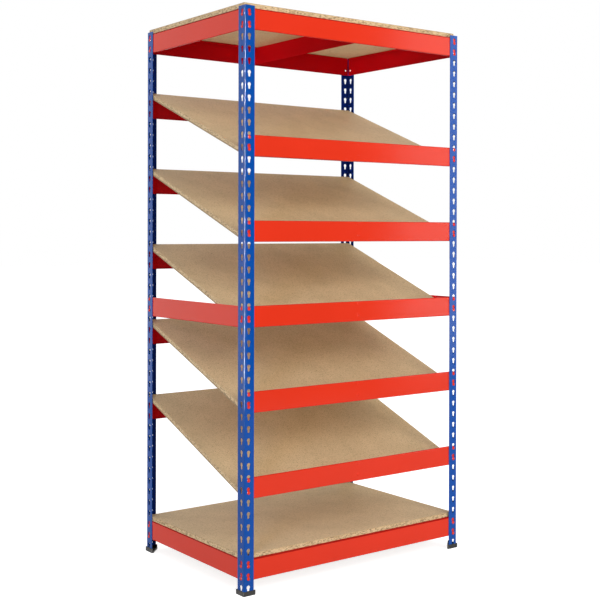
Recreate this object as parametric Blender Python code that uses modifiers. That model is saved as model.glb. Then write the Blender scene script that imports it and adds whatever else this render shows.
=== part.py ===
# Sloping shelving unit: a boltless bay with five sloping shelves between two flat ones.
# Metres, Z up. The origin is on the floor, in the middle of the bay's plan. The front faces -Y.
import math

import bmesh
import bpy
from mathutils import Matrix, Vector

# Overall plan, over the outer faces of the posts
WIDTH = 0.920
DEPTH = 0.615

# Keyhole rows, counted from 0 at the foot of a post
ROW_PITCH = 0.0381
ROW_COUNT = 48

# Shelf levels, as the row that a beam's upper rivet sits in
BOTTOM_ROW = 2
SLOPING_COUNT = 5
FIRST_SLOPING_ROW = 9
SLOPING_STEP_ROWS = 7
SLOPING_RISE_ROWS = 4
MIDDLE_SIDE_SHELF = 2

# Clearances
GAP = 0.0003
SLOPING_BOARD_END_SLACK = 0.0015
SLOPING_BOARD_SIDE_SLACK = 0.0005
FLAT_BOARD_LEFT_SLACK = 0.0005
FLAT_BOARD_RIGHT_SLACK = 0.0095
FLAT_BOARD_EDGE_SLACK = 0.0075
BEAM_END_GAP = 0.0045
COPE_CLEARANCE = 0.0020

# Posts: equal steel angle with keyholes in both flanges
POST_FLANGE = 0.037
POST_STEEL = 0.0020
POST_INSIDE_RADIUS = 0.0012
POST_BEND_STEPS = 4
KEYHOLE_INSET = 0.0165
KEYHOLE_HEAD = 0.0128
KEYHOLE_TAIL = 0.0076
KEYHOLE_HEAD_RISE = 0.0022
KEYHOLE_SEAT_DROP = 0.0088
KEYHOLE_ARC_STEPS = 3

# Beams: folded steel, a web with a ledge along one edge and a small return along the other
BEAM_STEEL = 0.0015
BEAM_LEDGE = 0.0200
BEAM_LIP = 0.0060
BEAM_RETURN = 0.0050
RIVET_TO_FREE_EDGE = 0.0080
RIVET_TO_LEDGE_EDGE = 0.0209

# Rivets, fixed for good in the ends of the beams, that hang in the keyholes
RIVET_SHANK = 0.0070
RIVET_HEAD = 0.0110
RIVET_CROWN = 0.0080
RIVET_HEAD_RISE = 0.0024
RIVET_SIDES = 6

# Low studs at the middle of each sloping shelf's front beam
STUD_HEAD = 0.0100
STUD_CROWN = 0.0070
STUD_RISE = 0.0010

# Boards
BOARD_THICKNESS = 0.0150

# Centre ties under the flat boards
TIE_FLANGE = 0.0150
TIE_ABOVE_BEAM_FOOT = 0.0040

# Plastic feet: a sole, and a wall all round the post's foot
FOOT_SOLE = 0.0040
FOOT_LIP = 0.0105
FOOT_WALL = 0.0025
FOOT_END_WALL = 0.0045
FOOT_INNER_CUT = 0.0040

# Finishes: base colour, metallic, roughness
BLUE_PAINT = ((0.004, 0.105, 0.440, 1.0), 0.0, 0.42)
RED_PAINT = ((0.800, 0.040, 0.018, 1.0), 0.0, 0.42)
CHIPBOARD = ((0.430, 0.320, 0.195, 1.0), 0.0, 0.75)
BLACK_PLASTIC = ((0.022, 0.020, 0.018, 1.0), 0.0, 0.50)

# Worked out from the sizes above
POST_FOOT_Z = FOOT_SOLE + GAP
POST_LENGTH = ROW_PITCH * ROW_COUNT
BEAM_HEIGHT = RIVET_TO_FREE_EDGE + ROW_PITCH + RIVET_TO_LEDGE_EDGE
BEAM_FACE = POST_STEEL + GAP
LONG_BEAM = WIDTH - 2 * (POST_STEEL + BEAM_END_GAP)
SIDE_BEAM = DEPTH - 2 * (POST_STEEL + BEAM_END_GAP)
COPE = GAP + BEAM_LEDGE + COPE_CLEARANCE - BEAM_END_GAP
TOP_ROW = ROW_COUNT - 1
CUT_PAST = 0.0020

# Modelling steps
WELD_DISTANCE = 0.00001
SETTLING_ROUNDS = 30

# A curve's X, Y and thickness turned to lie along these axes
ACROSS_FRONT = Matrix(((1, 0, 0, 0), (0, 0, -1, 0), (0, 1, 0, 0), (0, 0, 0, 1)))
ACROSS_SIDE = Matrix(((0, 0, 1, 0), (1, 0, 0, 0), (0, 1, 0, 0), (0, 0, 0, 1)))

# Quarter turns that take a front-left corner, or a front beam, round the bay
CORNERS = {
    "front_left": (-1, -1, 0),
    "front_right": (1, -1, 1),
    "back_right": (1, 1, 2),
    "back_left": (-1, 1, 3),
}
SIDES = {
    "front": (0, -1, 0),
    "right": (1, 0, 1),
    "back": (0, 1, 2),
    "left": (-1, 0, 3),
}


def clear_scene():
    for obj in list(bpy.data.objects):
        bpy.data.objects.remove(obj, do_unlink=True)


def new_collection(name):
    collection = bpy.data.collections.new(name)
    bpy.context.scene.collection.children.link(collection)
    return collection


def box_mesh(name, low, high):
    shape = bmesh.new()
    bmesh.ops.create_cube(shape, size=1.0)
    low, high = Vector(low), Vector(high)
    bmesh.ops.scale(shape, vec=high - low, verts=shape.verts)
    bmesh.ops.translate(shape, vec=(low + high) / 2, verts=shape.verts)
    mesh = bpy.data.meshes.new(name)
    shape.to_mesh(mesh)
    shape.free()
    return mesh


def outline_mesh(name, outlines, thickness, turn=Matrix.Identity(4)):
    # Flat closed outlines, given a thickness centred on their plane
    curve = bpy.data.curves.new(name, "CURVE")
    curve.dimensions = "2D"
    curve.fill_mode = "BOTH"
    curve.extrude = thickness / 2
    for outline in outlines:
        spline = curve.splines.new("POLY")
        spline.points.add(len(outline) - 1)
        for point, (x, y) in zip(spline.points, outline):
            point.co = (x, y, 0.0, 1.0)
        spline.use_cyclic_u = True
    holder = bpy.data.objects.new(name, curve)
    bpy.context.scene.collection.objects.link(holder)
    graph = bpy.context.evaluated_depsgraph_get()
    mesh = bpy.data.meshes.new_from_object(holder.evaluated_get(graph))
    bpy.data.objects.remove(holder)
    bpy.data.curves.remove(curve)
    return welded(mesh, turn)


def welded(mesh, turn):
    shape = bmesh.new()
    shape.from_mesh(mesh)
    bmesh.ops.remove_doubles(shape, verts=shape.verts, dist=WELD_DISTANCE)
    bmesh.ops.transform(shape, matrix=turn, verts=shape.verts)
    bmesh.ops.recalc_face_normals(shape, faces=shape.faces)
    shape.to_mesh(mesh)
    shape.free()
    return mesh


def group_mesh(name, pieces):
    # Several solids in one mesh, each piece given as a mesh and its placement
    shape = bmesh.new()
    for mesh, placement in pieces:
        copy = mesh.copy()
        copy.transform(placement)
        shape.from_mesh(copy)
        bpy.data.meshes.remove(copy)
    mesh = bpy.data.meshes.new(name)
    shape.to_mesh(mesh)
    shape.free()
    return mesh


def finish(obj, look):
    colour, metallic, roughness = look
    material = bpy.data.materials.new(obj.name + "_finish")
    material.use_nodes = True
    shader = material.node_tree.nodes["Principled BSDF"]
    shader.inputs["Base Color"].default_value = colour
    shader.inputs["Metallic"].default_value = metallic
    shader.inputs["Roughness"].default_value = roughness
    material.diffuse_color = colour
    obj.material_slots[0].link = "OBJECT"
    obj.material_slots[0].material = material


def add_part(name, mesh, look, placement=Matrix.Identity(4)):
    if not mesh.materials:
        mesh.materials.append(None)
    obj = bpy.data.objects.new(name, mesh)
    parts.objects.link(obj)
    obj.parent = unit
    obj.matrix_world = placement
    finish(obj, look)
    return obj


def combine(obj, tool_mesh, operation):
    # The tool stands where the object stands, in the object's own frame
    tool = bpy.data.objects.new(f"{obj.name}_{tool_mesh.name}", tool_mesh)
    tools.objects.link(tool)
    tool.matrix_world = obj.matrix_world
    tool.hide_render = True
    tool.display_type = "WIRE"
    modifier = obj.modifiers.new(tool_mesh.name, "BOOLEAN")
    modifier.operation = operation
    modifier.solver = "EXACT"
    modifier.object = tool


def arc(centre, radius, start, end, steps):
    angles = [start + (end - start) * step / steps for step in range(steps + 1)]
    return [(centre[0] + radius * math.cos(a), centre[1] + radius * math.sin(a)) for a in angles]


def row_z(row):
    return POST_FOOT_Z + (row + 0.5) * ROW_PITCH


def rivet_z(row):
    return row_z(row) - KEYHOLE_SEAT_DROP


# Posts


def angle_outline(flange, steel, inside_radius):
    # The angle's outer corner is at the origin, and its flanges run along +X and +Y
    centre = (inside_radius + steel, inside_radius + steel)
    outer = arc(centre, inside_radius + steel, math.pi, 1.5 * math.pi, POST_BEND_STEPS)
    inner = arc(centre, inside_radius, 1.5 * math.pi, math.pi, POST_BEND_STEPS)
    return outer + [(flange, 0.0), (flange, steel)] + inner + [(steel, flange), (0.0, flange)]


def keyhole_outline(row):
    # A wide head that narrows to the seat, where a rivet's shank comes to rest
    head_z = row_z(row) + KEYHOLE_HEAD_RISE
    foot_z = rivet_z(row) - KEYHOLE_TAIL / 2
    head = arc((KEYHOLE_INSET, head_z), KEYHOLE_HEAD / 2, 0.0, math.pi, KEYHOLE_ARC_STEPS)
    return head + [
        (KEYHOLE_INSET - KEYHOLE_TAIL / 2, foot_z),
        (KEYHOLE_INSET + KEYHOLE_TAIL / 2, foot_z),
    ]


def keyholes_mesh():
    outlines = [keyhole_outline(row) for row in range(ROW_COUNT)]
    thickness = POST_STEEL + 2 * CUT_PAST
    front = outline_mesh("front_flange_keyholes", outlines, thickness, ACROSS_FRONT)
    side = outline_mesh("side_flange_keyholes", outlines, thickness, ACROSS_SIDE)
    middle = POST_STEEL / 2
    return group_mesh("keyholes", [
        (front, Matrix.Translation((0, middle, 0))),
        (side, Matrix.Translation((middle, 0, 0))),
    ])


def corner_placement(corner, height=0.0):
    x, y, turns = CORNERS[corner]
    place = Matrix.Translation((x * WIDTH / 2, y * DEPTH / 2, height))
    return place @ Matrix.Rotation(turns * math.pi / 2, 4, "Z")


def add_posts():
    outline = angle_outline(POST_FLANGE, POST_STEEL, POST_INSIDE_RADIUS)
    stand = Matrix.Translation((0, 0, POST_FOOT_Z + POST_LENGTH / 2))
    post_mesh = outline_mesh("post", [outline], POST_LENGTH, stand)
    keyholes = keyholes_mesh()
    for corner in CORNERS:
        post = add_part("post_" + corner, post_mesh, BLUE_PAINT, corner_placement(corner))
        combine(post, keyholes, "DIFFERENCE")


# Feet


def foot_far():
    return POST_FLANGE + GAP + FOOT_END_WALL


def foot_outline():
    # A square cut across from end to end, in the same corner frame as the post
    near, far = -GAP - FOOT_WALL, foot_far()
    return [(near, near), (far, near), (far, FOOT_INNER_CUT), (FOOT_INNER_CUT, far), (near, far)]


def foot_hollows_mesh():
    # The post's section with a clearance all round, and the space between its flanges,
    # both open upwards from the sole
    outline = angle_outline(POST_FLANGE + 2 * GAP, POST_STEEL + 2 * GAP, POST_INSIDE_RADIUS - GAP)
    depth = FOOT_LIP + CUT_PAST
    place = Matrix.Translation((-GAP, -GAP, FOOT_SOLE + depth / 2))
    socket = outline_mesh("socket", [outline], depth, place)
    near = POST_STEEL + GAP + FOOT_WALL
    reach = foot_far() + FOOT_INNER_CUT - math.sqrt(2) * FOOT_WALL - near
    rise = Matrix.Translation((0, 0, FOOT_SOLE + depth / 2))
    pocket = outline_mesh("pocket", [[(near, near), (reach, near), (near, reach)]], depth, rise)
    still = Matrix.Identity(4)
    return group_mesh("hollows", [(socket, still), (pocket, still)])


def add_feet():
    height = FOOT_SOLE + FOOT_LIP
    lift = Matrix.Translation((0, 0, height / 2))
    foot_mesh = outline_mesh("foot", [foot_outline()], height, lift)
    hollows = foot_hollows_mesh()
    for corner in CORNERS:
        foot = add_part("foot_" + corner, foot_mesh, BLACK_PLASTIC, corner_placement(corner))
        combine(foot, hollows, "DIFFERENCE")


# Beams


def beam_outline(inverted, with_return):
    # X runs inward from the outer face of the web, Y up from the beam's lower edge
    thin = BEAM_STEEL
    free_edge = [(0, 0), (thin, 0)]
    if with_return:
        free_edge = [(0, 0), (BEAM_RETURN, 0), (BEAM_RETURN, thin), (thin, thin)]
    points = free_edge + [
        (thin, BEAM_HEIGHT - thin), (BEAM_LEDGE - thin, BEAM_HEIGHT - thin),
        (BEAM_LEDGE - thin, BEAM_HEIGHT - BEAM_LIP), (BEAM_LEDGE, BEAM_HEIGHT - BEAM_LIP),
        (BEAM_LEDGE, BEAM_HEIGHT), (0, BEAM_HEIGHT),
    ]
    if inverted:
        points = [(x, BEAM_HEIGHT - y) for x, y in points]
    return points


def rivet_heights(inverted):
    # Heights of the lower and upper rivets over the beam's lower edge
    lower = RIVET_TO_LEDGE_EDGE if inverted else RIVET_TO_FREE_EDGE
    return (lower, lower + ROW_PITCH)


def cope_mesh(length):
    # Boxes that take the ledge and the return off each end of the web
    cope = box_mesh(
        "cope",
        (length / 2 - COPE, BEAM_STEEL + GAP, -CUT_PAST),
        (length / 2 + CUT_PAST, BEAM_LEDGE + CUT_PAST, BEAM_HEIGHT + CUT_PAST),
    )
    opposite = Matrix.Translation((COPE - length - CUT_PAST, 0, 0))
    return group_mesh("copes", [(cope, Matrix.Identity(4)), (cope, opposite)])


def rivet_mesh():
    # Turned about Y: the shank starts inside the web, and the head is outside the post
    under_head = -POST_STEEL - 2 * GAP
    outside = under_head - RIVET_HEAD_RISE
    return turned_mesh("rivet", [
        (0, BEAM_STEEL / 2), (RIVET_SHANK / 2, BEAM_STEEL / 2), (RIVET_SHANK / 2, under_head),
        (RIVET_HEAD / 2, under_head), (RIVET_CROWN / 2, outside), (0, outside),
    ])


def stud_mesh():
    root = BEAM_STEEL / 2
    return turned_mesh("stud", [
        (0, root), (STUD_HEAD / 2, root), (STUD_CROWN / 2, -STUD_RISE), (0, -STUD_RISE),
    ])


def turned_mesh(name, profile):
    line = bpy.data.meshes.new(name + "_profile")
    corners = [(x, y, 0.0) for x, y in profile]
    edges = [(i, i + 1) for i in range(len(profile) - 1)]
    line.from_pydata(corners, edges, [])
    holder = bpy.data.objects.new(name, line)
    bpy.context.scene.collection.objects.link(holder)
    screw = holder.modifiers.new("turn", "SCREW")
    screw.axis = "Y"
    screw.steps = RIVET_SIDES
    screw.render_steps = RIVET_SIDES
    screw.use_merge_vertices = True
    screw.merge_threshold = WELD_DISTANCE
    graph = bpy.context.evaluated_depsgraph_get()
    mesh = bpy.data.meshes.new_from_object(holder.evaluated_get(graph))
    bpy.data.objects.remove(holder)
    bpy.data.meshes.remove(line)
    return welded(mesh, Matrix.Identity(4))


def rivets_mesh(span, inverted, middle_studs):
    rivet, stud = rivet_mesh(), stud_mesh()
    pieces = []
    for z in rivet_heights(inverted):
        pieces.append((rivet, Matrix.Translation((-span / 2, 0, z))))
        pieces.append((rivet, Matrix.Translation((span / 2, 0, z))))
        if middle_studs:
            pieces.append((stud, Matrix.Translation((0, 0, z))))
    return group_mesh("rivets", pieces)


def beam_kit(overall, length, inverted, middle_studs=False, with_return=True):
    # A beam's folded section, its rivets and its copes
    body = outline_mesh("beam", [beam_outline(inverted, with_return)], length, ACROSS_SIDE)
    rivets = rivets_mesh(overall - 2 * KEYHOLE_INSET, inverted, middle_studs)
    return body, rivets, cope_mesh(length)


def beam_foot_z(row, inverted):
    # The beam's lower edge, when its upper rivet sits in the row
    return rivet_z(row) - rivet_heights(inverted)[1]


def side_placement(side, z):
    x, y, turns = SIDES[side]
    place = Matrix.Translation((
        x * (WIDTH / 2 - BEAM_FACE), y * (DEPTH / 2 - BEAM_FACE), z,
    ))
    return place @ Matrix.Rotation(turns * math.pi / 2, 4, "Z")


def shelf_levels():
    # Each shelf from the top down: its name, the row of its front beam and of its back beam
    levels = [("top", TOP_ROW, TOP_ROW)]
    for number in range(1, SLOPING_COUNT + 1):
        row = FIRST_SLOPING_ROW + (SLOPING_COUNT - number) * SLOPING_STEP_ROWS
        levels.append((f"sloping_{number}", row, row + SLOPING_RISE_ROWS))
    levels.append(("bottom", BOTTOM_ROW, BOTTOM_ROW))
    return levels


def side_beam_levels():
    middle = FIRST_SLOPING_ROW + MIDDLE_SIDE_SHELF * SLOPING_STEP_ROWS
    return [("top", TOP_ROW, False), ("middle", middle, True), ("bottom", BOTTOM_ROW, False)]


def all_beams():
    # Each beam: its shelf, its side of the bay, its row and whether its ledge is at the bottom
    beams = []
    for shelf, front_row, back_row in shelf_levels():
        beams.append((shelf, "front", front_row, shelf.startswith("sloping")))
        beams.append((shelf, "back", back_row, False))
    for level, row, inverted in side_beam_levels():
        beams.append((level, "left", row, inverted))
        beams.append((level, "right", row, inverted))
    return beams


def add_beams():
    # The side beams at half height have no return, so that a sloping board passes their webs
    kits = {
        ("long", False): beam_kit(WIDTH, LONG_BEAM, False),
        ("long", True): beam_kit(WIDTH, LONG_BEAM, True, middle_studs=True),
        ("side", False): beam_kit(DEPTH, SIDE_BEAM, False),
        ("side", True): beam_kit(DEPTH, SIDE_BEAM, True, with_return=False),
    }
    for level, side, row, inverted in all_beams():
        length = "long" if side in ("front", "back") else "side"
        body, rivets, copes = kits[length, inverted]
        place = side_placement(side, beam_foot_z(row, inverted))
        beam = add_part(f"{level}_{side}_beam", body, RED_PAINT, place)
        combine(beam, copes, "DIFFERENCE")
        combine(beam, rivets, "UNION")


# Boards


def flat_board_mesh(name):
    # The flat boards are smaller than the bay and lie a little to the left
    left = -WIDTH / 2 + POST_STEEL + FLAT_BOARD_LEFT_SLACK
    right = WIDTH / 2 - POST_STEEL - FLAT_BOARD_RIGHT_SLACK
    back = DEPTH / 2 - POST_STEEL - FLAT_BOARD_EDGE_SLACK
    return box_mesh(name, (left, -back, 0), (right, back, BOARD_THICKNESS))


def sloping_board(front_row, back_row):
    # The board stands on the front beam's ledge, behind its web, and leans on the back beam's
    # ledge. Its front lower corner is the origin of its own frame. Returns the placement and the length.
    ledge_z = beam_foot_z(front_row, True) + BEAM_STEEL + GAP
    lip_y = -DEPTH / 2 + BEAM_FACE + BEAM_LEDGE - BEAM_STEEL
    lip_z = beam_foot_z(front_row, True) + BEAM_LIP + GAP
    stop_y = -DEPTH / 2 + BEAM_FACE + BEAM_STEEL + SLOPING_BOARD_END_SLACK
    rest_y = DEPTH / 2 - BEAM_FACE - BEAM_LEDGE
    rest_z = beam_foot_z(back_row, False) + BEAM_HEIGHT + GAP
    angle, corner_y, corner_z = 0.0, stop_y, ledge_z
    for _ in range(SETTLING_ROUNDS):
        corner_y = stop_y + BOARD_THICKNESS * math.sin(angle)
        over_lip = lip_z - (lip_y - corner_y) * math.tan(angle)
        corner_z = max(ledge_z, over_lip)
        angle = math.atan2(rest_z - corner_z, rest_y - corner_y)
    back_y = DEPTH / 2 - POST_STEEL - SLOPING_BOARD_END_SLACK
    length = (back_y - corner_y) / math.cos(angle)
    place = Matrix.Translation((0, corner_y, corner_z)) @ Matrix.Rotation(angle, 4, "X")
    return place, length


def add_boards():
    inside_side_webs = WIDTH / 2 - BEAM_FACE - BEAM_STEEL
    half_width = inside_side_webs - SLOPING_BOARD_SIDE_SLACK
    for shelf, front_row, back_row in shelf_levels():
        name = shelf + "_board"
        if shelf.startswith("sloping"):
            place, length = sloping_board(front_row, back_row)
            mesh = box_mesh(name, (-half_width, 0, 0), (half_width, length, BOARD_THICKNESS))
        else:
            z = beam_foot_z(front_row, False) + BEAM_HEIGHT + GAP
            place = Matrix.Translation((0, 0, z))
            mesh = flat_board_mesh(name)
        add_part(name, mesh, CHIPBOARD, place)


# Centre ties


def tie_outline():
    # X across the bay from the tie's plane, Y up from the beams' lower edge
    top = BEAM_HEIGHT
    foot = TIE_ABOVE_BEAM_FOOT
    return [
        (0, foot), (BEAM_STEEL, foot), (BEAM_STEEL, top - BEAM_STEEL),
        (TIE_FLANGE, top - BEAM_STEEL), (TIE_FLANGE, top), (0, top),
    ]


def tie_notches_mesh(length):
    # At each end the tie passes under the beam's ledge and is slotted over the ledge's lip
    ledge_y = DEPTH / 2 - BEAM_FACE - BEAM_LEDGE
    under_ledge_z = BEAM_HEIGHT - BEAM_STEEL - GAP
    under_lip_z = BEAM_HEIGHT - BEAM_LIP - GAP
    past_end_y = length / 2 + CUT_PAST
    past_top_z = BEAM_HEIGHT + CUT_PAST
    back = [
        (ledge_y - GAP, under_lip_z), (ledge_y + BEAM_STEEL + GAP, under_lip_z),
        (ledge_y + BEAM_STEEL + GAP, under_ledge_z), (past_end_y, under_ledge_z),
        (past_end_y, past_top_z), (ledge_y - GAP, past_top_z),
    ]
    front = [(-y, z) for y, z in back]
    return outline_mesh("notches", [front, back], 2 * (TIE_FLANGE + CUT_PAST), ACROSS_SIDE)


def add_ties():
    length = DEPTH - 2 * (BEAM_FACE + BEAM_STEEL + GAP)
    body = outline_mesh("tie", [tie_outline()], length, ACROSS_FRONT)
    notches = tie_notches_mesh(length)
    for shelf, row in (("top", TOP_ROW), ("bottom", BOTTOM_ROW)):
        place = Matrix.Translation((-BEAM_STEEL / 2, 0, beam_foot_z(row, False)))
        combine(add_part(shelf + "_centre_tie", body, RED_PAINT, place), notches, "DIFFERENCE")


clear_scene()
parts = new_collection("sloping_shelving_unit")
tools = new_collection("tools")
unit = bpy.data.objects.new("unit", None)
parts.objects.link(unit)
add_posts()
add_feet()
add_beams()
add_ties()
add_boards()
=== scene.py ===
import math

import bmesh
import bpy
from mathutils import Matrix, Vector


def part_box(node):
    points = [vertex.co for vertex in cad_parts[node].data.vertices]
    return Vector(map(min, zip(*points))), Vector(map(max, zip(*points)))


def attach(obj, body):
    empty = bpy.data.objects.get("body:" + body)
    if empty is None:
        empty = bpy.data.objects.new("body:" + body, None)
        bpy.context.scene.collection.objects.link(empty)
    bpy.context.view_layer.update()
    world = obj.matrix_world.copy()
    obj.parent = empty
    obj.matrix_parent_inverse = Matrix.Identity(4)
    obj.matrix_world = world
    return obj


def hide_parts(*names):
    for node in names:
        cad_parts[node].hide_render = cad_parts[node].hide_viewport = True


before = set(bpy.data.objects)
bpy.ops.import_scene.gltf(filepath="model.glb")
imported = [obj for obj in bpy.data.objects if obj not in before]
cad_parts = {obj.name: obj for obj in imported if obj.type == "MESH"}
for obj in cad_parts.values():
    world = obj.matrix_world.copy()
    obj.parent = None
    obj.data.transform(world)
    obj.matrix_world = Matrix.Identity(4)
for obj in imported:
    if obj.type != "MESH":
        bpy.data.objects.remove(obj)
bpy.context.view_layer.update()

scene = bpy.context.scene
print("frame loaded:", len(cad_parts), "nodes")


# Small helpers

def fromBytes(red, green, blue):  # a colour as a paint chart gives it, made linear
    def linear(value):
        part = value / 255
        return part / 12.92 if part <= 0.04045 else ((part + 0.055) / 1.055) ** 2.4
    return (linear(red), linear(green), linear(blue), 1.0)


def paint(mesh, material):  # one material all over
    mesh.materials.clear()
    mesh.materials.append(material)
    mesh.polygons.foreach_set("material_index", [0] * len(mesh.polygons))


def paintWhere(mesh, material, isThere):  # one more material where the test says so
    mesh.materials.append(material)
    for face in mesh.polygons:
        if isThere(face.center, face.normal):
            face.material_index = len(mesh.materials) - 1


def smoothed(mesh, degrees=35):  # round bends, and flat faces that stay flat between them
    mesh.shade_smooth()
    mesh.set_sharp_from_angle(angle=math.radians(degrees))
    holder = holderFor(mesh)
    weighted = holder.modifiers.new("flatFaces", "WEIGHTED_NORMAL")
    weighted.mode = "FACE_AREA"
    weighted.weight = 100  # the most that a large face can count
    weighted.keep_sharp = True
    return bakedMesh(holder)


def linked(name, data):
    item = bpy.data.objects.new(name, data)
    scene.collection.objects.link(item)
    return item


def finishedObject(name, mesh, body, *nodes):
    piece = linked(name, mesh)
    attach(piece, body)
    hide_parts(*nodes)
    return piece


def bakedMesh(holder):  # what the holder's modifiers make, as a plain mesh
    graph = bpy.context.evaluated_depsgraph_get()
    mesh = bpy.data.meshes.new_from_object(holder.evaluated_get(graph))
    bpy.data.objects.remove(holder)
    return mesh


def holderFor(mesh):  # an object for the modifiers to work on
    return linked("holder", mesh)


def meshFrom(shape, name):
    mesh = bpy.data.meshes.new(name)
    shape.to_mesh(mesh)
    shape.free()
    return mesh


def cardMesh(name, width, height):  # one flat face round the origin
    shape = bmesh.new()
    bmesh.ops.create_grid(shape, x_segments=1, y_segments=1, size=0.5)
    bmesh.ops.scale(shape, vec=(width, height, 1), verts=shape.verts)
    return meshFrom(shape, name)


def boxMesh(low, high):
    shape = bmesh.new()
    bmesh.ops.create_cube(shape, size=1.0)
    low, high = Vector(low), Vector(high)
    bmesh.ops.scale(shape, vec=high - low, verts=shape.verts)
    bmesh.ops.translate(shape, vec=(low + high) / 2, verts=shape.verts)
    return meshFrom(shape, "box")


def joinedMesh(meshes):
    shape = bmesh.new()
    for mesh in meshes:
        shape.from_mesh(mesh)
    return meshFrom(shape, "joined")


def cutAway(mesh, cutterMesh):  # the mesh without what the cutter covers
    cutter = holderFor(cutterMesh)
    holder = holderFor(mesh)
    cut = holder.modifiers.new("cut", "BOOLEAN")
    cut.operation = "DIFFERENCE"
    cut.solver = "EXACT"
    cut.object = cutter
    result = bakedMesh(holder)
    bpy.data.objects.remove(cutter)
    return result


def bevelled(mesh, width, degrees=40):  # only edges sharper than that are rounded
    holder = holderFor(mesh)
    bevel = holder.modifiers.new("edges", "BEVEL")
    bevel.width = width
    bevel.segments = 2
    bevel.limit_method = "ANGLE"
    bevel.angle_limit = math.radians(degrees)
    return bakedMesh(holder)


def sweptOutline(outline, low, high):  # an outline in the XY plane, drawn out along Z
    shape = bmesh.new()
    ring = [shape.verts.new((x, y, low)) for x, y in outline]
    face = shape.faces.new(ring)
    drawn = bmesh.ops.extrude_face_region(shape, geom=[face])
    moved = [item for item in drawn["geom"] if isinstance(item, bmesh.types.BMVert)]
    bmesh.ops.translate(shape, vec=(0, 0, high - low), verts=moved)
    bmesh.ops.recalc_face_normals(shape, faces=shape.faces)
    return meshFrom(shape, "swept")


def heading(start, end):
    step = end - start
    return math.atan2(step.y, step.x)


def along(angle):  # a step of 1 that way
    return Vector((math.cos(angle), math.sin(angle)))


def beside(angle):  # a step of 1 to the left of that way
    return Vector((-math.sin(angle), math.cos(angle)))


def bentSheet(corners, thickness, insideRadius, bendSteps=6, tipSteps=4):
    # The closed outline of a sheet folded along a line, with round bends and rounded tips
    corners = [Vector(corner) for corner in corners]
    radius = insideRadius + thickness / 2
    half = thickness / 2
    left, right = [], []

    def put(point, angle):
        left.append(point + beside(angle) * half)
        right.append(point - beside(angle) * half)

    def tip(point, start):
        angles = [start + math.pi * step / tipSteps for step in range(1, tipSteps)]
        return [point + along(angle) * half for angle in angles]

    first = heading(corners[0], corners[1])
    last = heading(corners[-2], corners[-1])
    startPoint = corners[0] + along(first) * half
    endPoint = corners[-1] - along(last) * half
    put(startPoint, first)
    for before, corner, after in zip(corners, corners[1:], corners[2:]):
        angle = heading(before, corner)
        turn = (heading(corner, after) - angle + math.pi) % (2 * math.pi) - math.pi
        way = math.copysign(1.0, turn)
        reach = radius * math.tan(abs(turn) / 2)
        centre = corner - along(angle) * reach + beside(angle) * radius * way
        for step in range(bendSteps + 1):
            here = angle + turn * step / bendSteps
            put(centre - beside(here) * radius * way, here)
    put(endPoint, last)
    outline = right + tip(endPoint, last - math.pi / 2)
    outline += left[::-1] + tip(startPoint, first + math.pi / 2)
    return [(point.x, point.y) for point in outline]


# Node trees

def feed(tree, socket, value):  # a link from another node, or a plain value
    if isinstance(value, bpy.types.NodeSocket):
        tree.links.new(value, socket)
    else:
        socket.default_value = value


def addNode(tree, kind, inputs=None, **settings):  # a list goes into one socket, in its order
    node = tree.nodes.new(kind)
    for name, value in settings.items():
        setattr(node, name, value)
    for name, value in (inputs or {}).items():
        for each in value if isinstance(value, list) else [value]:
            feed(tree, node.inputs[name], each)
    return node


def calc(tree, operation, first, second):
    node = addNode(tree, "ShaderNodeMath", operation=operation)
    feed(tree, node.inputs[0], first)
    feed(tree, node.inputs[1], second)
    return node.outputs[0]


def vector(tree, x=0.0, y=0.0, z=0.0):
    return addNode(tree, "ShaderNodeCombineXYZ", {"X": x, "Y": y, "Z": z}).outputs[0]


def geometryTree(name, sizes):
    tree = bpy.data.node_groups.new(name, "GeometryNodeTree")
    sockets = tree.interface
    sockets.new_socket(name="Geometry", in_out="OUTPUT", socket_type="NodeSocketGeometry")
    sockets.new_socket(name="Geometry", in_out="INPUT", socket_type="NodeSocketGeometry")
    for label, kind in sizes.items():
        sockets.new_socket(name=label, in_out="INPUT", socket_type="NodeSocket" + kind)
    start = tree.nodes.new("NodeGroupInput")
    end = tree.nodes.new("NodeGroupOutput")
    return tree, start.outputs, end.inputs["Geometry"]


sideways = (math.pi / 2, 0, 0)  # turns a shape that stands along Z to lie along Y


def together(tree, shapes):
    return addNode(tree, "GeometryNodeJoinGeometry", {"Geometry": shapes}).outputs[0]


def lyingPeg(tree, sides, radius, depth, place):
    peg = addNode(tree, "GeometryNodeMeshCylinder", {
        "Vertices": sides, "Radius": radius, "Depth": depth,
    })
    return addNode(tree, "GeometryNodeTransform", {
        "Geometry": peg.outputs["Mesh"], "Rotation": sideways, "Translation": place,
    }).outputs[0]


def column(tree, start, count, pitch):  # points one above the other
    return addNode(tree, "GeometryNodeMeshLine", {
        "Count": count, "Start Location": start, "Offset": vector(tree, 0.0, 0.0, pitch),
    }).outputs[0]


def planted(tree, points, shape, turn=(0, 0, 0)):
    return addNode(tree, "GeometryNodeInstanceOnPoints", {
        "Points": points, "Instance": shape, "Rotation": turn,
    }).outputs[0]


def carved(tree, shape, cutters):  # the shape without what the cutters cover
    solid = addNode(tree, "GeometryNodeRealizeInstances", {"Geometry": cutters}).outputs[0]
    return addNode(tree, "GeometryNodeMeshBoolean", {"Mesh 1": shape, "Mesh 2": solid},
                   operation="DIFFERENCE", solver="EXACT").outputs["Mesh"]


def endTree(tree, shape, material, result):
    real = addNode(tree, "GeometryNodeRealizeInstances", {"Geometry": shape}).outputs[0]
    painted = addNode(tree, "GeometryNodeSetMaterial", {"Geometry": real, "Material": material})
    tree.links.new(painted.outputs[0], result)


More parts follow.
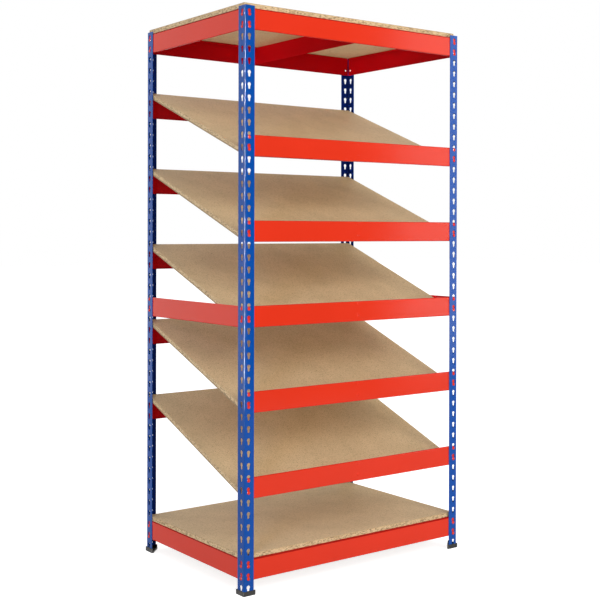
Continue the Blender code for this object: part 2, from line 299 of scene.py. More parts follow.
def grown(mesh, tree, sizes):  # the mesh run through a tree with these sizes
    holder = holderFor(mesh)
    modifier = holder.modifiers.new(tree.name, "NODES")
    modifier.node_group = tree
    labels = {item.name: item.identifier for item in tree.interface.items_tree
              if item.in_out == "INPUT"}
    for label, value in sizes.items():
        modifier[labels[label]] = value
    holder.update_tag()
    return bakedMesh(holder)


# Finishes

coatFacts = {
    "blue": fromBytes(6, 80, 172),
    "red": fromBytes(237, 56, 30),
    "roughness": 0.12,
    "roughnessSpread": 0.03,
    "gloss": 0.10,
    # Painted shade: darker copies of the blue and the red for the faces inside the folds, and for the
    # bend under a board
    "shadedInsideBlue": fromBytes(10, 34, 108),
    "shadedInsideRed": fromBytes(198, 4, 15),
    "creaseShadeRed": fromBytes(176, 26, 16),
    "insideRoughness": 0.50,
    "insideGloss": 0.015,
    "peelSize": 900.0,
    "peelDepth": 0.00004,
    "toneSize": 3.5,
    "toneSpread": 0.022,
    "patchSize": 7.0,
}


def newMaterial(name):
    material = bpy.data.materials.new(name)
    material.use_nodes = True
    tree = material.node_tree
    return material, tree, tree.nodes["Principled BSDF"]


def objectPoint(tree, stretch=(1, 1, 1), turn=(0, 0, 0)):
    place = tree.nodes.new("ShaderNodeTexCoord").outputs["Object"]
    mapping = addNode(tree, "ShaderNodeMapping", {"Vector": place})
    mapping.inputs["Rotation"].default_value = turn
    scaled = addNode(tree, "ShaderNodeVectorMath", operation="MULTIPLY")
    tree.links.new(mapping.outputs[0], scaled.inputs[0])
    scaled.inputs[1].default_value = stretch
    return scaled.outputs[0]


def noise(tree, point, scale, detail=3.0, roughness=0.5):
    return addNode(tree, "ShaderNodeTexNoise", {
        "Vector": point, "Scale": scale, "Detail": detail, "Roughness": roughness,
    }).outputs["Fac"]


def ramp(tree, factor, stops):
    node = tree.nodes.new("ShaderNodeValToRGB")
    tree.links.new(factor, node.inputs["Fac"])
    elements = node.color_ramp.elements
    while len(elements) < len(stops):
        elements.new(0.5)
    for element, (place, colour) in zip(elements, stops):
        element.position = place
        element.color = colour
    return node.outputs["Color"]


def twoTone(tree, factor, low, high, ends=(0.3, 0.7)):
    return ramp(tree, factor, ((ends[0], low), (ends[1], high)))


def spread(tree, factor, low, high):  # noise keeps mostly between the two ends it is read from
    return addNode(tree, "ShaderNodeMapRange", {
        "Value": factor, "From Min": 0.25, "From Max": 0.75, "To Min": low, "To Max": high,
    }).outputs[0]


def mixed(tree, factor, first, second, blend="MIX"):
    node = addNode(tree, "ShaderNodeMix", data_type="RGBA", blend_type=blend)
    for index, value in ((0, factor), (6, first), (7, second)):  # 6 and 7 are its colours A and B
        feed(tree, node.inputs[index], value)
    return node.outputs[2]


def bumped(tree, shader, height, distance, strength=1.0):
    bump = addNode(tree, "ShaderNodeBump", {
        "Height": height, "Distance": distance, "Strength": strength,
    })
    tree.links.new(bump.outputs[0], shader.inputs["Normal"])


def shaded(colour, share):
    return tuple(value * share for value in colour[:3]) + (1.0,)


def powderCoat(name, colour, shadedInside=False):  # the inside coats are painted shade: their darker colours are given, and here they get more roughness and less gloss
    material, tree, shader = newMaterial(name)
    point = objectPoint(tree)
    tone = noise(tree, point, coatFacts["toneSize"], detail=1.0)
    low = shaded(colour, 1 - coatFacts["toneSpread"])
    high = shaded(colour, 1 + coatFacts["toneSpread"])
    tree.links.new(twoTone(tree, tone, low, high), shader.inputs["Base Color"])
    rough = coatFacts["insideRoughness" if shadedInside else "roughness"]
    half = coatFacts["roughnessSpread"] / 2
    patches = noise(tree, point, coatFacts["patchSize"], detail=1.0)
    tree.links.new(spread(tree, patches, rough - half, rough + half), shader.inputs["Roughness"])
    gloss = coatFacts["insideGloss" if shadedInside else "gloss"]
    shader.inputs["Specular IOR Level"].default_value = gloss
    peel = noise(tree, point, coatFacts["peelSize"], detail=1.0)
    bumped(tree, shader, peel, coatFacts["peelDepth"])
    return material


chipFacts = {
    "light": fromBytes(235, 206, 157),
    "middle": fromBytes(213, 182, 135),
    "dark": fromBytes(163, 133, 93),
    "hole": fromBytes(96, 68, 42),
    "edgeLight": fromBytes(247, 217, 167),
    "edgeMiddle": fromBytes(225, 186, 133),
    "edgeDark": fromBytes(150, 114, 74),
    "flatEdgeBand": fromBytes(192, 156, 110),
    "slopingEdgeBand": fromBytes(136, 104, 70),
    "layering": 3.2,
    "bendShare": 0.6,
    "bendReach": (0.004, 0.004, 0.002),
    "fineTimes": 4,
    "fineShare": 0.35,
    "fineDarker": 0.9,
    "fineEnds": (0.30, 0.65),
    "cloudSize": 9.0,
    "cloudTone": (0.90, 0.89, 0.87, 1),
    "cloudEnds": (0.35, 0.65),
    "bandShare": 0.62,
}
chipKinds = {
    "face": {
        "chips": 420.0, "roughness": 0.62, "gloss": 0.25, "depth": 0.00012, "bump": 0.5,
        "fine": ("dark", "light"),
        "tones": ((0.0, "dark"), (0.16, "middle"), (0.70, "light"), (1.0, "middle")),
    },
    "edge": {
        "chips": 160.0, "roughness": 0.82, "gloss": 0.1, "depth": 0.0006, "bump": 0.8,
        "fine": ("edgeDark", "edgeLight"),
        "tones": ((0.0, "hole"), (0.14, "edgeDark"), (0.32, "edgeMiddle"), (0.50, "edgeLight"),
                  (1.0, "edgeLight")),
    },
}
chipKinds["edgeBand"] = dict(chipKinds["edge"], chips=320.0)  # finer chips near the board's faces


def chipboard(name, tilt, kind="face", edgeBand=None):
    # Flakes lie flat in the board, so the pattern is turned with the board and squeezed upright
    material, tree, shader = newMaterial(name)
    facts = chipKinds[kind]
    point = objectPoint(tree, (1.0, 1.0, chipFacts["layering"]), (-tilt, 0, 0))
    size = facts["chips"]
    bend = noise(tree, point, size * chipFacts["bendShare"], detail=2.0)
    shifted = addNode(tree, "ShaderNodeVectorMath", operation="MULTIPLY_ADD")
    for socket, value in zip(shifted.inputs, (bend, chipFacts["bendReach"], point)):
        feed(tree, socket, value)
    flakes = addNode(tree, "ShaderNodeTexVoronoi", {
        "Vector": shifted.outputs[0], "Scale": size, "Randomness": 1.0,
    })
    tone = tree.nodes.new("ShaderNodeSeparateColor")
    tree.links.new(flakes.outputs["Color"], tone.inputs[0])
    colour = ramp(tree, tone.outputs[0], [(place, chipFacts[key]) for place, key in facts["tones"]])
    dark, light = (chipFacts[key] for key in facts["fine"])
    fine = noise(tree, point, size * chipFacts["fineTimes"], detail=3.0, roughness=0.7)
    fine = twoTone(tree, fine, shaded(dark, chipFacts["fineDarker"]), light, chipFacts["fineEnds"])
    colour = mixed(tree, chipFacts["fineShare"], colour, fine)
    cloud = noise(tree, point, chipFacts["cloudSize"], detail=4.0)
    cloud = twoTone(tree, cloud, chipFacts["cloudTone"], (1, 1, 1, 1), chipFacts["cloudEnds"])
    colour = mixed(tree, 1.0, colour, cloud, "MULTIPLY")
    # A darker colour mixed in for the band along one face of the sawn edge
    if edgeBand:
        colour = mixed(tree, chipFacts["bandShare"], colour, chipFacts[edgeBand])
    tree.links.new(colour, shader.inputs["Base Color"])
    shader.inputs["Roughness"].default_value = facts["roughness"]
    shader.inputs["Specular IOR Level"].default_value = facts["gloss"]
    bumped(tree, shader, tone.outputs[0], facts["depth"], facts["bump"])
    return material


plasticFacts = {
    "dark": fromBytes(30, 29, 27),
    "light": fromBytes(42, 40, 38),
    "toneSize": 60.0,
    "roughness": (0.42, 0.58),
    "gloss": 0.2,
    "grainSize": 1600.0,
    "grainDepth": 0.00006,
}


def mouldedPlastic(name):
    material, tree, shader = newMaterial(name)
    point = objectPoint(tree)
    grain = noise(tree, point, plasticFacts["grainSize"], detail=2.0)
    tone = noise(tree, point, plasticFacts["toneSize"], detail=3.0)
    colour = twoTone(tree, tone, plasticFacts["dark"], plasticFacts["light"])
    tree.links.new(colour, shader.inputs["Base Color"])
    tree.links.new(spread(tree, tone, *plasticFacts["roughness"]), shader.inputs["Roughness"])
    shader.inputs["Specular IOR Level"].default_value = plasticFacts["gloss"]
    bumped(tree, shader, grain, plasticFacts["grainDepth"])
    return material


boardNodes = [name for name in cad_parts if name.endswith("_board")]


def boardCorners(node):
    # A board's lowest point and its rearmost one, which are its underside's front and back edges
    points = [vertex.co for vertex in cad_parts[node].data.vertices]
    front = min(points, key=lambda point: (round(point.z, 5), point.y))
    back = max(points, key=lambda point: (round(point.y, 5), -point.z))
    return front, back


def boardTilt(node):
    front, back = boardCorners(node)
    return math.atan2(back.z - front.z, back.y - front.y)


slope = boardTilt("sloping_1_board")
bluePaint = powderCoat("bluePowderCoat", coatFacts["blue"])
redPaint = powderCoat("redPowderCoat", coatFacts["red"])
# Painted shade: darker copies of the coats for inner faces, ties and the crease under a board
blueInsidePaintedShade = powderCoat("bluePowderCoatPaintedShade", coatFacts["shadedInsideBlue"], shadedInside=True)
redInsidePaintedShade = powderCoat("redPowderCoatPaintedShade", coatFacts["shadedInsideRed"], shadedInside=True)
redCreasePaintedShade = powderCoat("redPowderCoatCreaseShade", coatFacts["creaseShadeRed"], shadedInside=True)
flatFaces = chipboard("chipboardFlat", 0.0)
flatEdges = chipboard("chipboardFlatEdge", 0.0, "edge")
flatEdgeBand = chipboard("chipboardFlatEdgeBand", 0.0, "edgeBand", "flatEdgeBand")
slopingFaces = chipboard("chipboardSloping", slope)
slopingEdges = chipboard("chipboardSlopingEdge", slope, "edge")
slopingEdgeBand = chipboard("chipboardSlopingEdgeBand", slope, "edgeBand", "slopingEdgeBand")
blackPlastic = mouldedPlastic("blackMouldedPlastic")
print("finishes made")


# Posts: steel angle with a keyhole at every row of both flanges

postFacts = {
    "steel": 0.0020,
    "insideRadius": 0.0012,
    "bendSteps": 8,
    "rows": 48,
    "pitch": 0.0381,
    "holeInset": 0.0165,
    "headRadius": 0.0064,
    "headRise": 0.0022,
    "neckRadius": 0.0046,
    "seatDepth": 0.0088,
    "seatRadius": 0.0038,
    "holeSides": 28,
    "edgeRound": 0.00035,
}
insideFrom = 0.98  # share of the steel's thickness past which a face is the inner one
# Each corner's way from the middle in X and Y, and its quarter turns from the front left one
postCorners = {"front_left": (-1, -1, 0), "front_right": (1, -1, 1),
               "back_right": (1, 1, 2), "back_left": (-1, 1, 3)}


def keyholeTree():
    tree, given, result = geometryTree("keyholes", {
        "Rows": "Int", "Pitch": "Float", "First row": "Float", "Inset": "Float",
        "Head radius": "Float", "Head rise": "Float", "Neck radius": "Float",
        "Seat radius": "Float", "Seat depth": "Float", "Depth": "Float",
        "Steel": "Float", "Material": "Material",
    })

    def peg(radius, z, depth):
        return lyingPeg(tree, postFacts["holeSides"], radius, depth, vector(tree, 0.0, 0.0, z))

    # A round head, joined to a slot that narrows to the rivet's seat; the slot's cutter is
    # the shorter one, so that their ends never lie in one plane
    head = peg(given["Head radius"], given["Head rise"], given["Depth"])
    slotShare = 0.9
    slotDepth = calc(tree, "MULTIPLY", given["Depth"], slotShare)
    slotEnds = together(tree, [
        peg(given["Neck radius"], given["Head rise"], slotDepth),
        peg(given["Seat radius"], calc(tree, "MULTIPLY", given["Seat depth"], -1.0), slotDepth),
    ])
    slot = addNode(tree, "GeometryNodeConvexHull", {"Geometry": slotEnds}).outputs[0]
    keyhole = addNode(tree, "GeometryNodeMeshBoolean", {"Mesh 2": [head, slot]},
                      operation="UNION", solver="EXACT").outputs["Mesh"]
    middle = calc(tree, "MULTIPLY", given["Steel"], 0.5)
    cuts = []
    for start, turn in (
        (vector(tree, given["Inset"], middle, given["First row"]), (0, 0, 0)),
        (vector(tree, middle, given["Inset"], given["First row"]), (0, 0, math.pi / 2)),
    ):
        cuts.append(planted(tree, column(tree, start, given["Rows"], given["Pitch"]), keyhole, turn))
    perforated = carved(tree, given["Geometry"], together(tree, cuts))
    endTree(tree, perforated, given["Material"], result)
    return tree


def postMesh(flange, length):  # in the corner's own frame, its outer corner at the origin
    half = postFacts["steel"] / 2
    outline = bentSheet([(flange, half), (half, half), (half, flange)], postFacts["steel"],
                        postFacts["insideRadius"], postFacts["bendSteps"])
    angle = sweptOutline(outline, 0.0, length)
    pierced = grown(angle, keyholeTree(), {
        "Rows": postFacts["rows"],
        "Pitch": postFacts["pitch"],
        "First row": postFacts["pitch"] / 2,
        "Inset": postFacts["holeInset"],
        "Head radius": postFacts["headRadius"],
        "Head rise": postFacts["headRise"],
        "Neck radius": postFacts["neckRadius"],
        "Seat radius": postFacts["seatRadius"],
        "Seat depth": postFacts["seatDepth"],
        "Depth": postFacts["steel"] * 3,  # well through the sheet
        "Steel": postFacts["steel"],
        "Material": bluePaint,
    })
    mesh = bevelled(pierced, postFacts["edgeRound"], degrees=50)
    paint(mesh, bluePaint)
    inner = postFacts["steel"] * insideFrom
    # Painted shade: the inner faces of the angle take the darker blue
    paintWhere(mesh, blueInsidePaintedShade, lambda place, normal: min(place.x, place.y) > inner)
    return smoothed(mesh)


def cornerPlace(corner):  # takes a front left corner to another corner of the bay
    signX, signY, turns = postCorners[corner]
    low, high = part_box("post_" + corner)
    x = low.x if signX < 0 else high.x
    y = low.y if signY < 0 else high.y
    return Matrix.Translation((x, y, low.z)) @ Matrix.Rotation(turns * math.pi / 2, 4, "Z")


def makePosts():
    low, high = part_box("post_front_left")
    master = postMesh(high.x - low.x, high.z - low.z)
    for corner in postCorners:
        mesh = master.copy()
        mesh.transform(cornerPlace(corner))
        post = finishedObject(corner + "_angle_post", mesh, "rack", "post_" + corner)
    bpy.data.meshes.remove(master)
    print("posts made")


# Feet: moulded caps with a sole and a wall round the post

footFacts = {
    "gap": 0.0003,
    "wall": 0.0025,
    "endWall": 0.0045,
    "sole": 0.0040,
    "height": 0.0145,
    "insideHeight": 0.0065,
    "innerCut": 0.0040,
    "cornerRound": 0.0012,
    "pocketRound": 0.0010,
    "edgeRound": 0.0005,
}


def roundedOutline(points, radius, steps=5):  # a closed outline with each corner made round
    points = [Vector(point) for point in points]
    outline = []
    for index, corner in enumerate(points):
        before = (points[index - 1] - corner).normalized()
        after = (points[(index + 1) % len(points)] - corner).normalized()
        half = before.angle(after) / 2
        reach = radius / math.tan(half)
        centre = corner + (before + after).normalized() * radius / math.sin(half)
        start = (corner + before * reach - centre).normalized()
        end = (corner + after * reach - centre).normalized()
        for step in range(steps + 1):
            outline.append(tuple(centre + start.slerp(end, step / steps) * radius))
    return outline


def makeFeet():
    gap, wall = footFacts["gap"], footFacts["wall"]
    postLow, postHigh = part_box("post_front_left")
    flange = postHigh.x - postLow.x
    steel = postFacts["steel"]
    near, far = -gap - wall, flange + gap + footFacts["endWall"]
    cut = footFacts["innerCut"]
    plan = [(near, near), (far, near), (far, cut), (cut, far), (near, far)]
    block = sweptOutline(roundedOutline(plan, footFacts["cornerRound"]), 0.0, footFacts["height"])
    above = footFacts["height"] + wall  # cutters end clear of the top
    half = steel / 2
    socketLine = [(flange + gap, half), (half, half), (half, flange + gap)]
    socket = sweptOutline(bentSheet(socketLine, steel + 2 * gap, postFacts["insideRadius"] - gap,
                                    tipSteps=2), footFacts["sole"], above)
    pocketNear = steel + gap + wall
    pocketFar = far + cut - math.sqrt(2) * wall - pocketNear
    pocket = [(pocketNear, pocketNear), (pocketFar, pocketNear), (pocketNear, pocketFar)]
    pocket = roundedOutline(pocket, footFacts["pocketRound"])
    hollow = sweptOutline(pocket, footFacts["sole"], above)
    within, beyond = steel + gap, far + wall
    lowered = boxMesh((within, within, footFacts["insideHeight"]), (beyond, beyond, above * 2))
    mesh = cutAway(cutAway(block, joinedMesh([socket, hollow])), lowered)
    mesh = bevelled(mesh, footFacts["edgeRound"], degrees=45)
    paint(mesh, blackPlastic)
    mesh = smoothed(mesh)
    for corner in postCorners:
        copy = mesh.copy()
        place = cornerPlace(corner)
        place.translation.z = 0.0
        copy.transform(place)
        foot = finishedObject(corner + "_foot_cap", copy, "rack", "foot_" + corner)
    print("feet made")


# Beams: folded steel with fixed rivets at the ends

beamFacts = {
    "steel": 0.0015,
    "insideRadius": 0.0022,
    "crease": 0.0036,
    "ledge": 0.0200,
    "lip": 0.0060,
    "back": 0.0050,
    "cope": 0.0178,
    "freeEdgeToRivet": 0.0080,
    "pitch": 0.0381,
    "rivetInset": 0.0100,
    "rivetRadius": 0.0055,
    "rivetRise": 0.0024,
    "shankRadius": 0.0035,
    "shankLength": 0.0026,
    "lockHoleRise": 0.0120,
    "lockHoleRadius": 0.00325,
    "studRadius": 0.0048,
    "studRise": 0.0018,
    "rivetSides": 24,
    "rivetRings": 12,
    "drillEnds": (-0.004, 0.006),
    "copeDepth": 0.06,
    "copeGap": 0.0003,
    "faceBand": 0.0002,
    "faceLean": 0.9,
    "creaseLean": 0.12,
}


def beamTree():
    tree, given, result = geometryTree("beamEnds", {
        "Half span": "Float", "Lower rivet": "Float", "Pitch": "Float",
        "Rivet radius": "Float", "Rivet rise": "Float", "Shank radius": "Float",
        "Shank length": "Float", "Lock hole rise": "Float", "Lock hole radius": "Float",
        "Lock holes": "Int", "Stud radius": "Float", "Stud rise": "Float", "Stud rows": "Int",
        "Half length": "Float", "Cope": "Float", "Height": "Float", "Steel": "Float",
        "Material": "Material",
    })

    def dome(radius, rise, lift):  # a low dome standing towards -Y on the plane y = lift
        ball = addNode(tree, "GeometryNodeMeshUVSphere", {
            "Segments": beamFacts["rivetSides"], "Rings": beamFacts["rivetRings"], "Radius": 1.0,
        })
        squashed = addNode(tree, "GeometryNodeTransform", {
            "Geometry": ball.outputs["Mesh"], "Rotation": sideways,
            "Scale": vector(tree, radius, radius, rise),
        })
        place = tree.nodes.new("GeometryNodeInputPosition").outputs[0]
        parts = addNode(tree, "ShaderNodeSeparateXYZ", {"Vector": place})
        level = calc(tree, "MINIMUM", parts.outputs["Y"], 0.0)
        flat = addNode(tree, "GeometryNodeSetPosition", {
            "Geometry": squashed.outputs[0],
            "Position": vector(tree, parts.outputs["X"], level, parts.outputs["Z"]),
        })
        return addNode(tree, "GeometryNodeTransform", {
            "Geometry": flat.outputs[0], "Translation": vector(tree, 0.0, lift, 0.0),
        }).outputs[0]

    def rod(radius, start, end):
        length = calc(tree, "SUBTRACT", end, start)
        middle = calc(tree, "MULTIPLY", calc(tree, "ADD", start, end), 0.5)
        place = vector(tree, 0.0, middle, 0.0)
        return lyingPeg(tree, beamFacts["rivetSides"], radius, length, place)

    def upright(x, z, count):
        return column(tree, vector(tree, x, 0.0, z), count, given["Pitch"])

    left, lowest = calc(tree, "MULTIPLY", given["Half span"], -1.0), given["Lower rivet"]
    ends = together(tree, [upright(left, lowest, 2), upright(given["Half span"], lowest, 2)])
    under = calc(tree, "MULTIPLY", given["Shank length"], -1.0)
    rivet = together(tree, [
        dome(given["Rivet radius"], given["Rivet rise"], under),
        rod(given["Shank radius"], under, 0.0),
    ])
    studs = planted(tree, upright(0.0, lowest, given["Stud rows"]),
                    dome(given["Stud radius"], given["Stud rise"], 0.0))
    lockZ = calc(tree, "ADD", lowest, given["Lock hole rise"])
    lockPoints = together(tree, [
        upright(left, lockZ, given["Lock holes"]),
        upright(given["Half span"], lockZ, given["Lock holes"]),
    ])
    drill = planted(tree, lockPoints, rod(given["Lock hole radius"], *beamFacts["drillEnds"]))
    # The ledge and the return stop short of the posts: a block centred on each end, twice as
    # long as the cope and taller than the beam, takes them away
    copeDepth = beamFacts["copeDepth"]
    copeSize = vector(tree, calc(tree, "MULTIPLY", given["Cope"], 2.0), copeDepth,
                      calc(tree, "MULTIPLY", given["Height"], 4.0))
    block = addNode(tree, "GeometryNodeMeshCube", {"Size": copeSize}).outputs["Mesh"]
    copeY = calc(tree, "ADD", given["Steel"], copeDepth / 2)
    copes = []
    for way in (-1.0, 1.0):
        place = vector(tree, calc(tree, "MULTIPLY", given["Half length"], way), copeY, 0.0)
        copes.append(addNode(tree, "GeometryNodeTransform", {
            "Geometry": block, "Translation": place,
        }).outputs[0])
    cut = carved(tree, given["Geometry"], together(tree, [drill] + copes))
    whole = together(tree, [cut, planted(tree, ends, rivet), studs])
    endTree(tree, whole, given["Material"], result)
    return tree


def beamMesh(tree, length, height, across, inverted, lockHoles):
    # X along the beam, Y inward from the web's outer face, Z up from the beam's lower edge
    steel, ledge = beamFacts["steel"], beamFacts["ledge"]
    half = steel / 2
    # The side beams at half height have no return, so that a sloping board passes their webs
    hasReturn = across or not inverted
    freeEdge = [(beamFacts["back"], half), (half, half)] if hasReturn else [(half, 0.0)]
    section = freeEdge + [(half, height - half), (ledge - half, height - half),
                          (ledge - half, height - beamFacts["lip"])]
    if inverted:
        section = [(x, height - z) for x, z in section][::-1]
    outline = bentSheet(section, steel, beamFacts["insideRadius"])
    sheet = sweptOutline(outline, -length / 2, length / 2)
    # The outline's own X and Y become the beam's Y and Z, and its depth the beam's X
    sheet.transform(Matrix(((0, 0, 1, 0), (1, 0, 0, 0), (0, 1, 0, 0), (0, 0, 0, 1))))
    toFreeEdge = beamFacts["freeEdgeToRivet"]
    lowerRivet = height - toFreeEdge - beamFacts["pitch"] if inverted else toFreeEdge
    mesh = grown(sheet, tree, {
        "Half span": length / 2 - beamFacts["rivetInset"],
        "Lower rivet": lowerRivet,
        "Pitch": beamFacts["pitch"],
        "Rivet radius": beamFacts["rivetRadius"],
        "Rivet rise": beamFacts["rivetRise"],
        "Shank radius": beamFacts["shankRadius"],
        "Shank length": beamFacts["shankLength"],
        "Lock hole rise": beamFacts["lockHoleRise"],
        "Lock hole radius": beamFacts["lockHoleRadius"],
        "Lock holes": lockHoles,
        "Stud radius": beamFacts["studRadius"],
        "Stud rise": beamFacts["studRise"],
        "Stud rows": 2 if across and inverted else 0,
        "Half length": length / 2,
        "Cope": beamFacts["cope"],
        "Height": height,
        "Steel": steel + beamFacts["copeGap"],
        "Material": redPaint,
    })
    paint(mesh, redPaint)

    # Painted shade: the inner faces of the fold take the darker red
    def shadedInsideFaces(place, normal):
        band = beamFacts["faceBand"]
        outerFace = place.z > height - band or place.z < band
        outerFace = outerFace and abs(normal.z) > beamFacts["faceLean"]
        return place.y > steel * insideFrom and not outerFace

    def creaseShadeFaces(place, normal):  # painted shade: a darker red where the web turns in under a board
        inBend = place.z > height - beamFacts["crease"] and normal.z > beamFacts["creaseLean"]
        return inBend and not inverted

    # Painted shade: darker red on the inner faces and in the crease under a board
    paintWhere(mesh, redInsidePaintedShade, shadedInsideFaces)
    paintWhere(mesh, redCreasePaintedShade, creaseShadeFaces)
    return smoothed(mesh)


# Each side's way from the middle in X and Y, and its quarter turns from the front
baySides = {"front": (0, -1, 0), "right": (1, 0, 1), "back": (0, 1, 2), "left": (-1, 0, 3)}


def beamPlace(node, side):
    # The web's outer face lies a ledge's width outside the ledge's edge
    low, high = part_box(node)
    signX, signY, turns = baySides[side]
    ledge = beamFacts["ledge"]
    x = {-1: high.x - ledge, 0: (low.x + high.x) / 2, 1: low.x + ledge}[signX]
    y = {-1: high.y - ledge, 0: (low.y + high.y) / 2, 1: low.y + ledge}[signY]
    return Matrix.Translation((x, y, low.z)) @ Matrix.Rotation(turns * math.pi / 2, 4, "Z")


def makeBeams():
    tree = beamTree()
    masters = {}  # one mesh for each kind of beam
    for node in sorted(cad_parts):
        if not node.endswith("_beam"):
            continue
        level, side = node.removesuffix("_beam").rsplit("_", 1)
        low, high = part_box(node)
        across = side in ("front", "back")
        length = high.x - low.x if across else high.y - low.y
        height = high.z - low.z
        inverted = level == "middle" or (level.startswith("sloping") and side == "front")
        lockHoles = 1 if side in ("back", "right") else 0
        key = (across, inverted, lockHoles)
        if key not in masters:
            masters[key] = beamMesh(tree, length, height, across, inverted, lockHoles)
        mesh = masters[key].copy()
        mesh.transform(beamPlace(node, side))
        beam = finishedObject(node + "_steel", mesh, "rack", node)
    for mesh in masters.values():
        bpy.data.meshes.remove(mesh)
    print("beams made")


# Centre ties: angles under the flat boards, notched over the long beams' ledges

tieFacts = {
    "steel": 0.0015,
    "insideRadius": 0.0010,
    "gap": 0.0003,
    "lip": 0.0060,
    "cutPast": 0.01,
}


def makeTies():
    steel, gap = tieFacts["steel"], tieFacts["gap"]
    half = steel / 2
    for level in ("top", "bottom"):
        node = level + "_centre_tie"
        low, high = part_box(node)
        ledgeLow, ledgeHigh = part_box(level + "_back_beam")
        width, height = high.x - low.x, high.z - low.z
        outline = bentSheet([(half, 0.0), (half, height - half), (width, height - half)], steel,
                            tieFacts["insideRadius"])
        mesh = sweptOutline(outline, low.y, high.y)
        # The outline's Y becomes the tie's height, and its depth the tie's length
        mesh.transform(Matrix(((1, 0, 0, low.x), (0, 0, 1, 0), (0, 1, 0, low.z), (0, 0, 0, 1))))
        lipOuter = ledgeLow.y + steel + gap
        past = tieFacts["cutPast"]
        cuts = []  # a slot for each ledge's lip, and a step for the tie's end to pass under it
        for way in (-1, 1):
            slot = sorted((way * (ledgeLow.y - gap), way * lipOuter))
            shelf = sorted((way * (lipOuter - gap), way * (high.y + past)))
            cuts.append(boxMesh((low.x - past, slot[0], high.z - tieFacts["lip"] - gap),
                                (high.x + past, slot[1], high.z + past)))
            cuts.append(boxMesh((low.x - past, shelf[0], high.z - steel - gap),
                                (high.x + past, shelf[1], high.z + past * 2)))
        for cutter in cuts:
            mesh = cutAway(mesh, cutter)
        # Painted shade: the whole tie takes the darker inside red, as it lies in shade under a board
        paint(mesh, redInsidePaintedShade)
        mesh = smoothed(mesh)
        tie = finishedObject(node + "_angle", mesh, "rack", node)
    print("ties made")


# Boards: chipboard with sawn edges

boardFacts = {
    "thickness": 0.0150,
    "edgeRound": 0.0006,
    "flatBandDepths": (0.0, 0.0016),
    "slopingBandDepths": (0.0046, 0.0),
    "faceLean": 0.8,
    "flatTilt": 0.001,
}


def boardMesh(width, length, bandDepths, faces, edges, edgeBand):
    # The sawn edge has a darker band along its lower face on the sloping boards, and along its upper
    # face on the flat ones
    thickness = boardFacts["thickness"]
    box = boxMesh((-width / 2, 0, 0), (width / 2, length, thickness))
    mesh = bevelled(box, boardFacts["edgeRound"])
    low, high = bandDepths[0], thickness - bandDepths[1]
    shape = bmesh.new()
    shape.from_mesh(mesh)
    for level in (low, high):
        if not 0.0 < level < thickness:
            continue
        everything = shape.verts[:] + shape.edges[:] + shape.faces[:]
        bmesh.ops.bisect_plane(shape, geom=everything, plane_co=(0, 0, level), plane_no=(0, 0, 1))
    shape.to_mesh(mesh)
    shape.free()
    mesh.materials.clear()
    for material in (faces, edges, edgeBand):
        mesh.materials.append(material)
    for face in mesh.polygons:
        if abs(face.normal.z) > boardFacts["faceLean"]:
            face.material_index = 0
        else:
            face.material_index = 1 if low < face.center.z < high else 2
    return smoothed(mesh)


def makeBoards():
    for node in sorted(boardNodes):
        low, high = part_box(node)
        front, back = boardCorners(node)
        tilt = boardTilt(node)
        length = math.hypot(back.y - front.y, back.z - front.z)
        if abs(tilt) < boardFacts["flatTilt"]:
            bandDepths, finish = boardFacts["flatBandDepths"], (flatFaces, flatEdges, flatEdgeBand)
        else:
            bandDepths, finish = boardFacts["slopingBandDepths"], (slopingFaces, slopingEdges, slopingEdgeBand)
        mesh = boardMesh(high.x - low.x, length, bandDepths, *finish)
        place = Matrix.Translation(((low.x + high.x) / 2, front.y, front.z))
        mesh.transform(place @ Matrix.Rotation(tilt, 4, "X"))
        board = finishedObject(node + "_chipboard", mesh, node, node)
    print("boards made")


makePosts()
makeFeet()
makeBeams()
makeTies()
makeBoards()


# Floor, light and camera

stageFacts = {
    "floorSize": 60.0,
    "floorColour": (0.70, 0.70, 0.70, 1.0),
    "floorGlow": 0.80,
    "floorMirrorGlow": 1.00,
    "worldLight": 0.65,
    "aim": (0.0, 0.0, 0.9),
    "flagPlace": (0.9, -3.55, 1.3),
    "flagSize": (3.7, 4.8),
    "flagColour": (0.01, 0.01, 0.01, 1),
}
lampFacts = {
    "keyLamp": {"place": (0.9, -4.8, 3.0), "size": (2.6, 2.6), "power": 103.0, "glintOnly": False},
    "fillLamp": {"place": (-4.2, -1.2, 2.2), "size": (2.8, 2.8), "power": 14.0, "glintOnly": False},
    # The glint along the posts' bends
    "stripLamp": {"place": (-3.9, -2.6, 1.6), "size": (1.0, 3.2), "power": 4600.0, "glintOnly": True},
    # The pale sheen on the faces to the left
    "sheenLamp": {"place": (-2.1, 2.55, 1.75), "size": (3.8, 3.4), "power": 56.0, "glintOnly": True},
    # The paler right ends of the front beams
    "endLamp": {"place": (3.9, -3.4, 1.6), "size": (1.5, 3.0), "power": 66.0, "glintOnly": True},
}


def seenRays(tree):  # rays straight from the camera, and those that come by way of metal or glass
    path = tree.nodes.new("ShaderNodeLightPath")
    mirrored = calc(tree, "MAXIMUM", path.outputs["Is Glossy Ray"],
                    path.outputs["Is Transmission Ray"])
    return path.outputs["Is Camera Ray"], mirrored


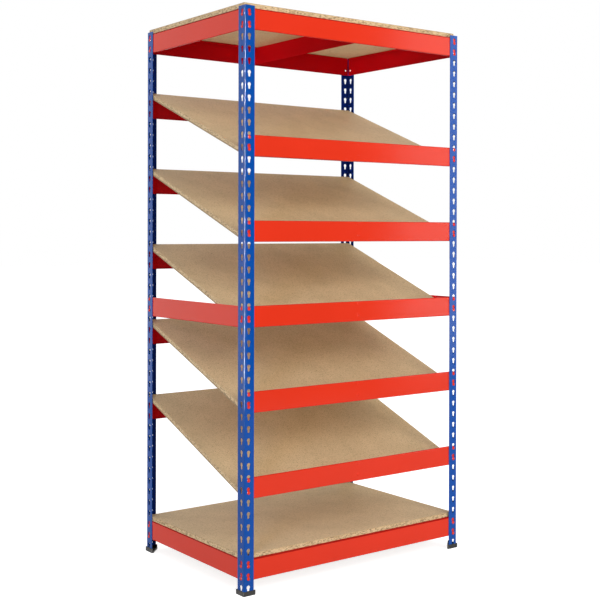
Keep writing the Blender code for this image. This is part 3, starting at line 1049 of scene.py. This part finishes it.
def makeFloor():
    mesh = cardMesh("floor", stageFacts["floorSize"], stageFacts["floorSize"])
    material, tree, _ = newMaterial("paleFloor")
    tree.nodes.clear()
    straight, mirrored = seenRays(tree)
    direct = calc(tree, "MULTIPLY", straight, stageFacts["floorGlow"])
    mirrored = calc(tree, "MULTIPLY", mirrored, stageFacts["floorMirrorGlow"])
    strength = calc(tree, "MAXIMUM", direct, mirrored)
    matte = addNode(tree, "ShaderNodeBsdfDiffuse", {"Color": stageFacts["floorColour"]})
    glow = addNode(tree, "ShaderNodeEmission", {"Strength": strength})
    both = tree.nodes.new("ShaderNodeAddShader")
    tree.links.new(matte.outputs[0], both.inputs[0])
    tree.links.new(glow.outputs[0], both.inputs[1])
    output = tree.nodes.new("ShaderNodeOutputMaterial")
    tree.links.new(both.outputs[0], output.inputs["Surface"])
    mesh.materials.append(material)
    floor = linked("floor", mesh)


def makeWorld():
    world = bpy.data.worlds.new("studio")
    scene.world = world
    world.use_nodes = True
    tree = world.node_tree
    background = tree.nodes["Background"]
    seen = calc(tree, "MAXIMUM", *seenRays(tree))
    background.inputs["Color"].default_value = (1, 1, 1, 1)
    extra = calc(tree, "MULTIPLY", seen, 1.0 - stageFacts["worldLight"])
    strength = calc(tree, "ADD", stageFacts["worldLight"], extra)
    tree.links.new(strength, background.inputs["Strength"])


def makeLamps():
    for name, facts in lampFacts.items():
        data = bpy.data.lights.new(name, "AREA")
        data.shape = "RECTANGLE"
        data.size, data.size_y = facts["size"]
        data.energy = facts["power"]
        lamp = linked(name, data)
        lamp.location = facts["place"]
        aim = Vector(stageFacts["aim"]) - Vector(facts["place"])
        lamp.rotation_euler = aim.to_track_quat("-Z", "Y").to_euler()
        lamp.visible_camera = False
        lamp.visible_diffuse = not facts["glintOnly"]


def makeFlag():  # a black card that only reflections see, so the front faces keep their colour
    mesh = cardMesh("flag", *stageFacts["flagSize"])
    place = Vector(stageFacts["flagPlace"])
    toRack = Vector(stageFacts["aim"]) - place
    toRack.z = 0
    turned = toRack.to_track_quat("Z", "Y").to_matrix().to_4x4()
    mesh.transform(Matrix.Translation(place) @ turned)
    material, _, shader = newMaterial("blackCard")
    shader.inputs["Base Color"].default_value = stageFacts["flagColour"]
    shader.inputs["Roughness"].default_value = 1.0
    mesh.materials.append(material)
    flag = linked("flag", mesh)
    flag.visible_camera = False
    flag.visible_diffuse = False
    flag.visible_shadow = False
    flag.visible_transmission = False


cameraFacts = {  # fitted to the posts' and beams' edges, with angles in degrees
    "place": (-2.3658, -3.1181, 1.1292),
    "yaw": 36.300,
    "pitch": -0.216,
    "roll": 0.122,
    "focalPixels": 1097.9,
    "centre": (286.1, 236.3),
    "imageSize": 600,
    "sensorWidth": 36.0,
    "clip": (0.05, 200.0),
}


def makeCamera():
    data = bpy.data.cameras.new("camera")
    camera = linked("camera", data)
    yaw, pitch, roll = (math.radians(cameraFacts[key]) for key in ("yaw", "pitch", "roll"))
    ahead = Vector((math.sin(yaw) * math.cos(pitch), math.cos(yaw) * math.cos(pitch),
                    math.sin(pitch)))
    level = Vector((math.cos(yaw), -math.sin(yaw), 0.0))
    upright = level.cross(ahead)
    right = level * math.cos(roll) + upright * math.sin(roll)
    up = upright * math.cos(roll) - level * math.sin(roll)
    turned = Matrix((right, up, -ahead)).transposed().to_4x4()
    turned.translation = Vector(cameraFacts["place"])
    camera.matrix_world = turned
    size = cameraFacts["imageSize"]
    data.sensor_width = cameraFacts["sensorWidth"]
    data.lens = cameraFacts["focalPixels"] / size * data.sensor_width
    data.shift_x = (size / 2 - cameraFacts["centre"][0]) / size
    data.shift_y = (cameraFacts["centre"][1] - size / 2) / size
    data.clip_start, data.clip_end = cameraFacts["clip"]
    scene.camera = camera


makeFloor()
makeWorld()
makeLamps()
makeFlag()
makeCamera()
scene.view_settings.view_transform = "Standard"
print("stage made")
